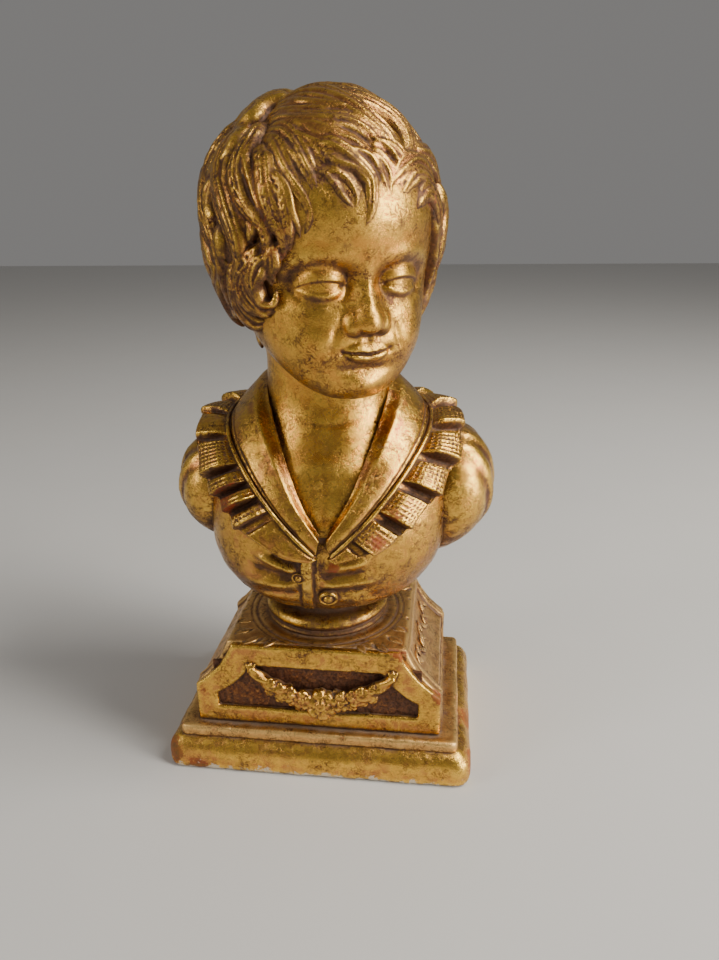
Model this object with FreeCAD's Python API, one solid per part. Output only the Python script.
"""A gilded cast bust of a child on a stepped plinth, as separate castings, ornaments and fixings.

Millimetres, +Z up. The origin is the middle of the resting face, and the bust looks along -Y.
The castings are luted together, and one rod through the plinth clamps the bust to its base.
"""
import FreeCAD
import Part
import math
import os

from FreeCAD import Vector as V

OUT = "parts"

# Base slab, step and felt
SLAB_W, SLAB_D, SLAB_TOP = 150.0, 102.0, 17.0
SLAB_CORNER = 6.0
SLAB_ROLL, SLAB_FOOT_ROLL = 6.5, 1.0
FELT_T, FELT_INSET = 1.0, 5.0
STEP_W, STEP_D, STEP_H = 137.0, 92.0, 5.0
STEP_CORNER, STEP_ROLL = 2.5, 1.4

# Plinth: upright sides to the shoulder, then hollow curves in to a narrower top
PLINTH_W, PLINTH_TOP_W = 120.0, 86.0
PLINTH_FRONT, PLINTH_BACK = -38.0, 41.0
PLINTH_Z0 = SLAB_TOP + STEP_H
SHOULDER_Z, PLINTH_Z1 = 43.5, 67.5
SHOULDER_HOLLOW = 2.2
PLINTH_WALL = 9.0
FIELD_DEPTH, FIELD_MARGIN = 0.9, 7.0
FLANK_LEAF, FLANK_LEAVES, FLANK_PITCH = (4.6, 3.3, 1.0), 7, 8.3
FLANK_LEAF_TURN, FLANK_LEAF_SWING = 35.0, 3.0
TOP_LEAF, TOP_LEAF_SPREAD = (5.2, 2.4, 1.0), 13.0
TOP_LEAF_REACH, TOP_LEAF_MIDDLE_REACH = 41.0, 45.5

# Front frame and garland
FRAME_T = 3.2
FRAME_TOP_W = 81.0
FRAME_BAND, FRAME_TOP_BAND = 10.3, 11.8
FRAME_INSET = 0.3
RECESS_DEPTH = 2.4
GARLAND_X, GARLAND_HALF, GARLAND_TOP, GARLAND_SAG = 3.0, 36.0, 57.0, 19.5
GARLAND_BEADS, GARLAND_BEAD_R, GARLAND_SWELL = 21, 2.5, 1.2
GARLAND_CURVE = 1.3
GARLAND_PROUD = 1.6

# Socle and fixing
SOCLE_Z1 = 80.5
SOCLE_R = 31.0
ROD_R = 3.0
ROD_CLEARANCE = 0.4
NUT_AF, NUT_H = 10.0, 5.0
WASHER_R, WASHER_T = 9.0, 1.6
POCKET_R, POCKET_H = 13.0, 9.0
INSERT_R, INSERT_H = 5.5, 12.0

# Torso: height, half width, reach to the front, reach to the back
TORSO = [
    (80.5, 21, 21, 21),
    (84, 32, 31, 26),
    (90, 42, 38, 31),
    (99, 50, 43, 35),
    (110, 55, 46, 38),
    (124, 57, 46.5, 40),
    (138, 58, 43.5, 41),
    (150, 57, 38.5, 40),
    (160, 51, 33, 37),
    (168, 42, 28, 33),
    (175, 33, 24, 29),
]
TORSO_WALL = 8.0
BUST_AXIS = [(80.5, 1.5), (124, 3.0), (160, 4.0), (181, 4.0), (200, 3.0)]

# Sleeves: cut-off upper arms
SLEEVE_X, SLEEVE_Y, SLEEVE_Z = 58.0, 4.0, 134.0
SLEEVE_R = (16.0, 24.0, 29.0)
SLEEVE_LEAN = 4.5
SLEEVE_TURNS = range(-75, 76, 15)

# Jacket edges on one side, from the front meeting point round to the back of the neck
COLLAR_INNER = [(0.5, -49, 128.5), (9, -45, 142), (18.5, -34.5, 160), (26.5, -18, 176),
                (28.5, 2, 187), (20, 21, 191.5), (0, 29, 192.5)]
COLLAR_OUTER = [(1.5, -51, 120), (10, -50, 128), (23, -44, 141), (34.5, -34, 154),
                (44, -15, 165.5), (45, 8, 171), (35, 29, 174), (0, 41, 173)]
RUFFLE_OUTER = [(5, -52.5, 118.5), (22, -51, 123), (35, -46, 131), (47, -36, 142),
                (57, -22, 153), (61.5, -4, 167), (58, 20, 169), (40, 40, 166), (0, 50, 162)]
COLLAR_T, COLLAR_PROUD, RUFFLE_T = 4.0, 1.5, 2.6
COLLAR_STEPS, PIPING_STEPS = 16, 12
PLEATS, PLEAT_LOW, PLEAT_HIGH = 9, 1.0, 3.2
PIPING_R, PIPING_RISE = 1.3, 0.6
PLACKET_X, PLACKET_HALF, PLACKET_Z0, PLACKET_Z1 = -7.0, 4.0, 85.0, 118.6
BUTTON_R, BUTTON_T, BUTTON_RIM, BUTTON_KNOB_R = 4.2, 2.8, 0.9, 1.2
UPPER_BUTTON_X, UPPER_BUTTON_Z = -11.0, 108.0
LOWER_BUTTON_X, LOWER_BUTTON_Z = 2.0, 96.5

# Head: height above the chin, half width, reach to the face, reach to the back
HEAD = [
    (0.5, 9, 41, -26),
    (4, 17, 43.5, -20),
    (9, 24, 45, -8),
    (16, 30, 45.5, 6),
    (25, 35, 46, 24),
    (36, 39, 46, 39),
    (50, 41.5, 46.5, 47),
    (63, 43, 48, 51),
    (75, 43.5, 48.5, 50.5),
    (87, 40, 44.5, 46),
    (96, 32.5, 36, 37),
    (102.5, 22, 24, 26),
    (105.5, 8, 9, 10),
]
HEAD_AT = V(2.0, -3.0, 191.0)
TORSO_TURN = 5.0
HEAD_TURN, HEAD_NOD = 30.0, 6.0
HEAD_WALL = 11.0
HAIR_T = 5.0
HAIR_NAPE_BACK = 34.0
HAIR_ROW_HEIGHTS = (18, 24, 32, 42, 53, 64)
CROWN_Z0, CROWN_Z1 = 74.0, 116.0
NECK_R, NECK_PLUG_R = 25.0, 15.0
NECK_Z0, PLUG_Z0 = 158.0, 140.0


def between(rows, t):
    """The row at height t on a smooth curve through the rows, whose first value is the height."""
    rows = [tuple(float(x) for x in r) for r in rows]
    if t <= rows[0][0]:
        return rows[0][1:]
    if t >= rows[-1][0]:
        return rows[-1][1:]
    i = max(k for k in range(len(rows) - 1) if rows[k][0] <= t)
    a, b = rows[i], rows[i + 1]
    before = rows[i - 1] if i else a
    after = rows[i + 2] if i + 2 < len(rows) else b
    h = b[0] - a[0]
    u = (t - a[0]) / h
    out = []
    for k in range(1, len(a)):
        m0 = (b[k] - before[k]) / (b[0] - before[0]) * h
        m1 = (after[k] - a[k]) / (after[0] - a[0]) * h
        out.append(a[k] * (2 * u**3 - 3 * u**2 + 1) + m0 * (u**3 - 2 * u**2 + u)
                   + b[k] * (3 * u**2 - 2 * u**3) + m1 * (u**3 - u**2))
    return tuple(out)


def oval(centre_x, half, front, back, z, count=28, square=2.25):
    """A closed smooth outline at height z. The front and back reaches may lie on one side of y=0."""
    middle, reach = (back - front) / 2, (back + front) / 2
    points = []
    for i in range(count):
        a = 2 * math.pi * i / count
        s, c = math.sin(a), math.cos(a)
        x = half * math.copysign(abs(s) ** (2 / square), s)
        y = reach * math.copysign(abs(c) ** (2 / square), c)
        points.append(V(centre_x + x, middle - y, z))
    return closed_spline(points)


def closed_spline(points):
    curve = Part.BSplineCurve()
    curve.interpolate(points, PeriodicFlag=True)
    return Part.Wire([curve.toShape()])


def open_spline(points):
    curve = Part.BSplineCurve()
    curve.interpolate([V(*p) for p in points])
    return curve


def loft(wires, ruled=False):
    shape = Part.makeLoft(wires, True, ruled)
    if shape.Volume < 0:
        shape.reverse()
    return shape


def fused(shapes):
    return shapes[0].multiFuse(shapes[1:]).removeSplitter() if len(shapes) > 1 else shapes[0]


def largest(shape):
    return max(shape.Solids, key=lambda s: s.Volume)


def rounded_block(width, depth, z0, z1, corner):
    block = Part.makeBox(width, depth, z1 - z0, V(-width / 2, -depth / 2, z0))
    upright = [e for e in block.Edges if abs(e.tangentAt(e.FirstParameter).z) > 0.99]
    return block.makeFillet(corner, upright)


def edges_at(shape, z):
    return [e for e in shape.Edges if all(abs(v.Z - z) < 1e-6 for v in e.Vertexes)
            and abs(e.BoundBox.ZMax - e.BoundBox.ZMin) < 1e-6]


def rod_hole(z0, z1):
    return Part.makeCylinder(ROD_R + ROD_CLEARANCE, z1 - z0, V(0, 0, z0))


def ellipsoid(centre, radii, turn=None):
    ball = Part.makeSphere(1.0)
    matrix = FreeCAD.Matrix()
    matrix.scale(*radii)
    ball = ball.transformGeometry(matrix)
    if turn:
        ball.rotate(V(0, 0, 0), V(*turn[0]), turn[1])
    ball.translate(V(*centre))
    return ball


# ---------------------------------------------------------------- base and plinth

def felt_pad():
    return rounded_block(SLAB_W - 2 * FELT_INSET, SLAB_D - 2 * FELT_INSET, 0, FELT_T, SLAB_CORNER)


def base_slab():
    slab = rounded_block(SLAB_W, SLAB_D, FELT_T, SLAB_TOP, SLAB_CORNER)
    slab = slab.makeFillet(SLAB_ROLL, edges_at(slab, SLAB_TOP))
    slab = slab.makeFillet(SLAB_FOOT_ROLL, edges_at(slab, FELT_T))
    pocket = Part.makeCylinder(POCKET_R, POCKET_H, V(0, 0, FELT_T))
    return slab.cut(fused([pocket, rod_hole(FELT_T, SLAB_TOP)]))


def base_step():
    step = rounded_block(STEP_W, STEP_D, SLAB_TOP, PLINTH_Z0, STEP_CORNER)
    step = step.makeFillet(STEP_ROLL, edges_at(step, PLINTH_Z0))
    return step.cut(rod_hole(SLAB_TOP, PLINTH_Z0))


def plinth_outline(inset, y, top_w=PLINTH_TOP_W):
    """The shouldered front outline of the plinth, moved in by inset, as a closed wire at depth y."""
    w, t = PLINTH_W / 2 - inset, top_w / 2 - inset
    z0, zs, z1 = PLINTH_Z0 + inset, SHOULDER_Z - inset * 0.1, PLINTH_Z1 - inset
    run = V(t - w, 0, z1 - zs)
    inward = V(-run.z, 0, run.x).normalize() * SHOULDER_HOLLOW
    edges = []
    corners = [V(-w, y, z0), V(w, y, z0), V(w, y, zs), V(t, y, z1), V(-t, y, z1), V(-w, y, zs)]
    for a, b in zip(corners, corners[1:] + corners[:1]):
        slanted = abs(a.x - b.x) > 1e-6 and abs(a.z - b.z) > 1e-6
        if slanted:
            side = math.copysign(1.0, a.x + b.x)
            middle = (a + b) * 0.5 + V(inward.x * side, 0, inward.z)
            edges.append(Part.Arc(a, middle, b).toShape())
        else:
            edges.append(Part.LineSegment(a, b).toShape())
    return Part.Wire(edges)


def plinth_prism(inset, y0, y1, top_w=PLINTH_TOP_W):
    return Part.Face(plinth_outline(inset, y0, top_w)).extrude(V(0, y1 - y0, 0))


def flank_band(inset, y_inset):
    """A ring of space just inside the plinth's outer skin, for the sunk fields of the sloping flanks."""
    outer = plinth_prism(-5, PLINTH_FRONT + y_inset, PLINTH_BACK - y_inset)
    slopes = Part.makeBox(PLINTH_W + 20, 200, PLINTH_Z1 - SHOULDER_Z - 5,
                          V(-PLINTH_W / 2 - 10, -100, SHOULDER_Z + 2))
    return outer.cut(plinth_prism(inset, -100, 100)).common(slopes)


def plinth_body():
    body = plinth_prism(0, PLINTH_FRONT, PLINTH_BACK)
    cavity = Part.makeBox(PLINTH_W - 2 * PLINTH_WALL, PLINTH_BACK - PLINTH_FRONT - 2 * PLINTH_WALL,
                          SHOULDER_Z - PLINTH_Z0 + 8,
                          V(-PLINTH_W / 2 + PLINTH_WALL, PLINTH_FRONT + PLINTH_WALL, PLINTH_Z0))
    top_cavity = Part.makeBox(PLINTH_TOP_W - 2 * PLINTH_WALL,
                              PLINTH_BACK - PLINTH_FRONT - 2 * PLINTH_WALL,
                              PLINTH_Z1 - PLINTH_Z0 - PLINTH_WALL,
                              V(-PLINTH_TOP_W / 2 + PLINTH_WALL, PLINTH_FRONT + PLINTH_WALL, PLINTH_Z0))
    ledge = plinth_prism(PLINTH_WALL, -100, 100)
    low = ledge.fuse(Part.makeBox(PLINTH_W - 2 * PLINTH_WALL, 200, PLINTH_WALL + 1,
                                  V(-PLINTH_W / 2 + PLINTH_WALL, -100, PLINTH_Z0)))
    hollow = cavity.fuse(top_cavity).common(low)
    return largest(body.cut(hollow).cut(flank_band(FIELD_DEPTH, FIELD_MARGIN)).cut(rod_hole(40, PLINTH_Z1)))


def panel_frame():
    """The raised frame on the front, with its sunk ground behind the opening."""
    y = PLINTH_FRONT - FRAME_T
    opening_top_w = FRAME_TOP_W + 2 * (FRAME_BAND - FRAME_TOP_BAND)
    plate = plinth_prism(FRAME_INSET, y, PLINTH_FRONT, FRAME_TOP_W)
    opening = plinth_prism(FRAME_BAND, y - 1, y + RECESS_DEPTH, opening_top_w)
    return plate.cut(opening)


def garland_point(t):
    """The garland's hanging line, with t from -1 at the left knot to 1 at the right one."""
    drop = (math.cosh(GARLAND_CURVE * t) - 1) / (math.cosh(GARLAND_CURVE) - 1)
    y = PLINTH_FRONT - FRAME_T + RECESS_DEPTH - GARLAND_PROUD
    return V(GARLAND_X + GARLAND_HALF * t, y, GARLAND_TOP - GARLAND_SAG * (1 - drop))


def garland():
    """A festoon of leaves and flowers, thickest at its middle, hung from a knot at each end."""
    leaves = []
    for i in range(GARLAND_BEADS):
        t = -1 + 2 * i / (GARLAND_BEADS - 1)
        size = GARLAND_BEAD_R + GARLAND_SWELL * math.cos(t * math.pi / 2)
        leaves.append(Part.makeSphere(size, garland_point(t)))
    behind = Part.makeBox(200, 20, 200, V(-100, PLINTH_FRONT - FRAME_T + RECESS_DEPTH, 0))
    return largest(fused(leaves).cut(behind))


def flank_ornament(side):
    """A low scroll of leaves laid in one sunk flank field."""
    run = V(PLINTH_TOP_W / 2 - PLINTH_W / 2, 0, PLINTH_Z1 - SHOULDER_Z)
    slope = math.degrees(math.atan2(run.z, -run.x))
    centre_x = (PLINTH_W + PLINTH_TOP_W) / 4 - SHOULDER_HOLLOW * 0.95
    middle_z = (SHOULDER_Z + PLINTH_Z1) / 2 - SHOULDER_HOLLOW * 0.85
    up_slope = V(-side * math.cos(math.radians(slope)), 0, math.sin(math.radians(slope)))
    leaves = []
    for i in range(FLANK_LEAVES):
        y = (PLINTH_FRONT + PLINTH_BACK) / 2 + (i - (FLANK_LEAVES - 1) / 2) * FLANK_PITCH
        hand = 1 if i % 2 else -1
        leaf = ellipsoid((0, 0, 0), FLANK_LEAF)
        leaf.rotate(V(0, 0, 0), V(0, 0, 1), hand * FLANK_LEAF_TURN)
        leaf.rotate(V(0, 0, 0), V(0, 1, 0), side * slope)
        leaf.translate(V(side * centre_x, y, middle_z) + up_slope * hand * FLANK_LEAF_SWING)
        leaves.append(leaf)
    return Part.makeCompound(leaves)


def top_leaves():
    """Low leaves on the plinth's top, pointing outwards round the socle."""
    leaves = []
    corner = math.degrees(math.atan2(PLINTH_BACK, PLINTH_TOP_W / 2))
    for middle in (corner, 180 - corner, 180 + corner, -corner):
        for hand in (-1, 0, 1):
            turn = hand * TOP_LEAF_SPREAD
            reach = TOP_LEAF_REACH if hand else TOP_LEAF_MIDDLE_REACH
            a = math.radians(middle + turn)
            leaf = ellipsoid((0, 0, 0), TOP_LEAF)
            leaf.rotate(V(0, 0, 0), V(0, 0, 1), middle + turn)
            leaf.translate(V(reach * math.cos(a), reach * math.sin(a), PLINTH_Z1 + 0.2))
            leaves.append(leaf)
    flat = Part.makeBox(200, 200, 10, V(-100, -100, PLINTH_Z1))
    return Part.makeCompound([largest(leaf.common(flat)) for leaf in leaves])


def socle():
    """The round turned foot under the bust: a fillet, a roll, and a hollow neck."""
    z0, z1 = PLINTH_Z1, SOCLE_Z1
    outline = [V(0, 0, z0), V(SOCLE_R, 0, z0), V(SOCLE_R, 0, z0 + 1.8), V(SOCLE_R - 2.2, 0, z0 + 2.6)]
    edges = [Part.LineSegment(a, b).toShape() for a, b in zip(outline, outline[1:])]
    roll_low, roll_top = outline[-1], V(SOCLE_R - 3.6, 0, z0 + 8.4)
    neck_top = V(21.5, 0, z1)
    edges.append(Part.Arc(roll_low, V(SOCLE_R + 0.4, 0, z0 + 5.6), roll_top).toShape())
    edges.append(Part.Arc(roll_top, V(20.6, 0, z0 + 10.6), neck_top).toShape())
    edges.append(Part.LineSegment(neck_top, V(0, 0, z1)).toShape())
    edges.append(Part.LineSegment(V(0, 0, z1), V(0, 0, z0)).toShape())
    turned = Part.Face(Part.Wire(edges)).revolve(V(0, 0, 0), V(0, 0, 1), 360)
    return turned.cut(rod_hole(z0, z1))


# ---------------------------------------------------------------- fixings

def washer():
    ring = Part.makeCylinder(WASHER_R, WASHER_T, V(0, 0, FELT_T + POCKET_H - WASHER_T))
    return ring.cut(rod_hole(FELT_T, SLAB_TOP))


def nut():
    corner_r = NUT_AF / math.sqrt(3)
    z0 = FELT_T + POCKET_H - WASHER_T - NUT_H
    corners = [V(corner_r * math.cos(k * math.pi / 3), corner_r * math.sin(k * math.pi / 3), z0)
               for k in range(6)]
    prism = Part.Face(Part.makePolygon(corners + corners[:1])).extrude(V(0, 0, NUT_H))
    return prism.cut(Part.makeCylinder(ROD_R + 0.05, NUT_H, V(0, 0, z0)))


def fixing_rod():
    z0 = FELT_T + POCKET_H - WASHER_T - NUT_H - 1.5
    rod = Part.makeCylinder(ROD_R, SOCLE_Z1 + INSERT_H - 1 - z0, V(0, 0, z0))
    return rod.makeChamfer(0.6, [e for e in rod.Edges if isinstance(e.Curve, Part.Circle)])


def anchor_insert():
    """The threaded bush cast into the bottom of the torso."""
    bush = Part.makeCylinder(INSERT_R, INSERT_H, V(0, 0, SOCLE_Z1))
    groove = Part.makeCylinder(INSERT_R + 1, 2.5, V(0, 0, SOCLE_Z1 + 5))
    bush = bush.cut(groove.cut(Part.makeCylinder(INSERT_R - 1, 2.5, V(0, 0, SOCLE_Z1 + 5))))
    return bush.cut(Part.makeCylinder(ROD_R + 0.05, INSERT_H, V(0, 0, SOCLE_Z1)))


# ---------------------------------------------------------------- torso and jacket

def axis_x(z):
    return between(BUST_AXIS, z)[0]


def torso_solid(inset, z0, z1, steps=14):
    wires = []
    for i in range(steps + 1):
        z = z0 + (z1 - z0) * i / steps
        half, front, back = between(TORSO, z)
        wires.append(oval(axis_x(z), half - inset, front - inset, back - inset, z))
    return loft(wires)


def torso(torso_shell, head_casting):
    """The hollow chest and shoulders, with a seat for the neck and a bore for the threaded bush."""
    hollow = turned_bust(torso_solid(TORSO_WALL, SOCLE_Z1 + INSERT_H + 1.5, PLUG_Z0 + 6, 8))
    bore = Part.makeCylinder(INSERT_R, INSERT_H, V(0, 0, SOCLE_Z1))
    return largest(torso_shell.cut(hollow).cut(bore).cut(head_casting))


def sleeve(side, torso_shell):
    """One cut-off sleeve: a full upper arm, narrowing to its lower end."""
    wires = []
    for turn in SLEEVE_TURNS:
        reach, rise = math.cos(math.radians(turn)), math.sin(math.radians(turn))
        x = axis_x(SLEEVE_Z) + side * (SLEEVE_X + SLEEVE_LEAN * rise)
        half, deep = SLEEVE_R[0] * reach, SLEEVE_R[1] * reach
        z = SLEEVE_Z + SLEEVE_R[2] * rise
        wires.append(oval(x, half, deep - SLEEVE_Y, deep + SLEEVE_Y, z, square=2.0))
    return largest(turned_bust(loft(wires)).cut(torso_shell))


def side_curve(points, side):
    """One side's jacket edge, leaning with the bust's axis."""
    return open_spline([(side * x + axis_x(z), y, z) for x, y, z in points])


def at_share(curve, share):
    first, last = curve.FirstParameter, curve.LastParameter
    return curve.value(first + (last - first) * share)


def strip_section(inner, outer, lift, thick):
    """A closed four-sided section from inner to outer, its back sunk below the line by thick."""
    across = outer - inner
    outward = V(inner.x + outer.x - 2 * axis_x(inner.z), inner.y + outer.y, 46).normalize()
    normal = (outward - across * (outward.dot(across) / across.dot(across))).normalize()
    face = normal * lift
    back = normal * (lift - thick)
    corners = [inner + face, outer + face, outer + back, inner + back]
    return Part.makePolygon(corners + corners[:1])


def collar():
    """The smooth rolled collar, from the front meeting point round the neck and back."""
    sections = []
    for side, shares in ((-1, range(COLLAR_STEPS + 1)), (1, range(COLLAR_STEPS - 1, -1, -1))):
        inner, outer = side_curve(COLLAR_INNER, side), side_curve(COLLAR_OUTER, side)
        for i in shares:
            s = i / COLLAR_STEPS
            sections.append(strip_section(at_share(inner, s), at_share(outer, s), COLLAR_PROUD, COLLAR_T))
    return loft(sections, ruled=True)


def collar_piping():
    """The round cord along the collar's outer edge."""
    points = []
    for side, shares in ((-1, range(PIPING_STEPS + 1)), (1, range(PIPING_STEPS - 1, -1, -1))):
        outer = side_curve(COLLAR_OUTER, side)
        points += [at_share(outer, i / PIPING_STEPS) for i in shares]
    path = open_spline([(p.x, p.y, p.z + PIPING_RISE) for p in points])
    spine = Part.Wire([path.toShape()])
    ring = Part.Wire([Part.Circle(path.value(path.FirstParameter),
                                  path.tangent(path.FirstParameter)[0], PIPING_R).toShape()])
    return spine.makePipeShell([ring], True, True)


def ruffle(side):
    """A band of box pleats standing out from the collar's edge, on one side of the jacket."""
    inner, outer = side_curve(COLLAR_OUTER, side), side_curve(RUFFLE_OUTER, side)
    sections = []
    for i in range(PLEATS):
        for share, lift in ((0.03, PLEAT_LOW), (0.10, PLEAT_HIGH), (0.80, PLEAT_HIGH), (0.90, PLEAT_LOW)):
            s = (i + share) / PLEATS
            sections.append(strip_section(at_share(inner, s), at_share(outer, s), lift, RUFFLE_T))
    return loft(sections, ruled=True)


def torso_front(x, z):
    """The y of the torso's front skin at x and z."""
    half, front, back = between(TORSO, z)
    middle, reach = (back - front) / 2, (back + front) / 2
    share = min(0.98, abs(x - axis_x(z)) / half)
    return middle - reach * (1 - share ** 2.25) ** (1 / 2.25)


def placket():
    """The narrow front facing that carries the buttons."""
    wires = []
    steps = 7
    for i in range(steps + 1):
        z = PLACKET_Z0 + (PLACKET_Z1 - PLACKET_Z0) * i / steps
        x = axis_x(z) + PLACKET_X
        y = torso_front(x, z)
        left, right, back, front = x - PLACKET_HALF, x + PLACKET_HALF, y + 2, y - 1.6
        wires.append(Part.makePolygon([V(left, back, z), V(left, front, z), V(right, front, z),
                                       V(right, back, z), V(left, back, z)]))
    return loft(wires)


def button(x, z):
    """A turned button with a raised rim and a small middle knob."""
    disc = Part.makeCylinder(BUTTON_R, BUTTON_T, V(0, 0, 0))
    disc = disc.makeFillet(BUTTON_RIM, edges_at(disc, BUTTON_T))
    disc = disc.cut(Part.makeCylinder(BUTTON_R * 0.6, 1.0, V(0, 0, BUTTON_T - 0.8)))
    disc = disc.fuse(Part.makeSphere(BUTTON_KNOB_R, V(0, 0, BUTTON_T - 0.9)))
    y = torso_front(x, z)
    slope = math.degrees(math.atan2(torso_front(x, z - 2) - torso_front(x, z + 2), 4))
    disc.rotate(V(0, 0, 0), V(1, 0, 0), 90 + slope)
    disc.translate(V(x, y + 0.4, z))
    return disc


# ---------------------------------------------------------------- head

def turned_bust(shape):
    """The torso and jacket, turned a little on the socle."""
    shape.rotate(V(0, 0, 0), V(0, 0, 1), TORSO_TURN)
    return shape


def placed_on_neck(shape):
    shape.rotate(V(0, 0, 0), V(1, 0, 0), HEAD_NOD)
    shape.rotate(V(0, 0, 0), V(0, 0, 1), HEAD_TURN)
    shape.translate(HEAD_AT)
    return shape


def face_relief(x, z):
    """How far the features stand out from the plain face at x and height z above the chin."""
    def hill(cx, cz, wx, wz):
        return math.exp(-((x - cx) / wx) ** 2 - ((z - cz) / wz) ** 2)
    relief = 8.5 * hill(0, 33.5, 6.5, 5.5) + 3.0 * hill(0, 41, 5.0, 9)
    relief += 2.2 * hill(0, 20.5, 11, 5.5) + 2.0 * hill(0, 9, 11, 6)
    for side in (-1, 1):
        relief += 2.0 * hill(side * 20, 26, 12, 12) - 3.2 * hill(side * 16.5, 47.5, 9, 6)
    above_jaw = min(1.0, max(0.0, (z - 6.0) / 14.0))
    return relief * above_jaw


def head_sections(grow, rows, front_shift=0.0, features=True, count=44):
    wires = []
    for z, half, front, back in rows:
        middle, reach = (back - front) / 2, (back + front) / 2
        points = []
        for i in range(count):
            a = 2 * math.pi * i / count
            s, c = math.sin(a), math.cos(a)
            x = (half + grow) * math.copysign(abs(s) ** (2 / 2.2), s)
            y = middle - (reach + grow) * math.copysign(abs(c) ** (2 / 2.2), c) - front_shift
            if features and c > 0:
                y -= face_relief(x, z)
            points.append(V(x, y, z))
        wires.append(closed_spline(points))
    return wires


def head_rows(steps):
    top = HEAD[-1][0]
    heights = [HEAD[0][0] + (top - HEAD[0][0]) * i / steps for i in range(steps + 1)]
    return [(z, *between(HEAD, z)) for z in heights]


def neck_solid():
    rows = [(NECK_Z0, 30, 27, 27), (170, 27, 25, 26), (182, NECK_R, 23.5, 25), (194, 25, 23, 26),
            (206, 27, 22, 30)]
    wires = [oval(axis_x(z), half, front, back, z, square=2.0) for z, half, front, back in rows]
    return loft(wires)


def head():
    """The head and neck, hollow, with a plug that drops into the torso."""
    skull = placed_on_neck(loft(head_sections(0, head_rows(26))))
    plug = Part.makeCylinder(NECK_PLUG_R, NECK_Z0 - PLUG_Z0 + 2, V(axis_x(165), 0, PLUG_Z0))
    inner = [(z, half - HEAD_WALL, front - HEAD_WALL, back - HEAD_WALL)
             for z, half, front, back in HEAD if 30 < z < 97]
    hollow = placed_on_neck(loft(head_sections(0, inner, features=False)))
    bore = Part.makeCylinder(NECK_PLUG_R - 6, 100, V(axis_x(165), 0, PLUG_Z0))
    outside = fused([skull, neck_solid(), plug])
    return largest(outside.cut(hollow.fuse(bore)))


def hair(head_casting):
    """The cap of hair, open at the face, full over the ears and the nape."""
    rows = []
    for z in HAIR_ROW_HEIGHTS:
        half, front, back = between(HEAD, z)
        rows.append((z, half + HAIR_T, front + HAIR_T, max(back, HAIR_NAPE_BACK) + HAIR_T))
    widest = [reach + HAIR_T for reach in between(HEAD, CROWN_Z0)]
    for turn in range(0, 90, 9):
        angle = math.radians(turn)
        z = CROWN_Z0 + (CROWN_Z1 - CROWN_Z0) * math.sin(angle)
        rows.append((z, *(reach * math.cos(angle) for reach in widest)))
    cap = loft(head_sections(0, rows, features=False))
    face_window = ellipsoid((0, -42, 42), (37, 30, 40))
    jaw_window = Part.makeBox(200, 70, 70, V(-100, -80, -40))
    cap = cap.cut(fused([face_window, jaw_window]))
    return largest(placed_on_neck(cap).cut(head_casting))


def main():
    os.makedirs(OUT, exist_ok=True)
    head_casting = head()
    torso_shell = turned_bust(torso_solid(0, TORSO[0][0], TORSO[-1][0]))
    nodes = {
        "felt_pad": felt_pad(),
        "base_slab": base_slab(),
        "base_step": base_step(),
        "plinth_body": plinth_body(),
        "panel_frame": panel_frame(),
        "garland": garland(),
        "flank_ornament_left": flank_ornament(-1),
        "flank_ornament_right": flank_ornament(1),
        "top_leaves": top_leaves(),
        "socle": socle(),
        "washer": washer(),
        "nut": nut(),
        "fixing_rod": fixing_rod(),
        "anchor_insert": anchor_insert(),
        "torso": torso(torso_shell, head_casting),
        "sleeve_left": sleeve(-1, torso_shell),
        "sleeve_right": sleeve(1, torso_shell),
        "placket": turned_bust(placket()),
        "button_upper": turned_bust(button(axis_x(UPPER_BUTTON_Z) + UPPER_BUTTON_X, UPPER_BUTTON_Z)),
        "button_lower": turned_bust(button(axis_x(LOWER_BUTTON_Z) + LOWER_BUTTON_X, LOWER_BUTTON_Z)),
        "collar": turned_bust(collar()),
        "collar_piping": turned_bust(collar_piping()),
        "ruffle_left": turned_bust(ruffle(-1)),
        "ruffle_right": turned_bust(ruffle(1)),
        "head": head_casting,
        "hair": hair(head_casting),
    }
    for name, shape in nodes.items():
        shape.exportStep(os.path.join(OUT, name + ".step"))
        box = shape.BoundBox
        print(f"{name:22s} solids {len(shape.Solids):2d} valid {shape.isValid()} "
              f"volume {shape.Volume / 1000:8.2f} cm3  z {box.ZMin:6.1f} to {box.ZMax:6.1f}")


main()
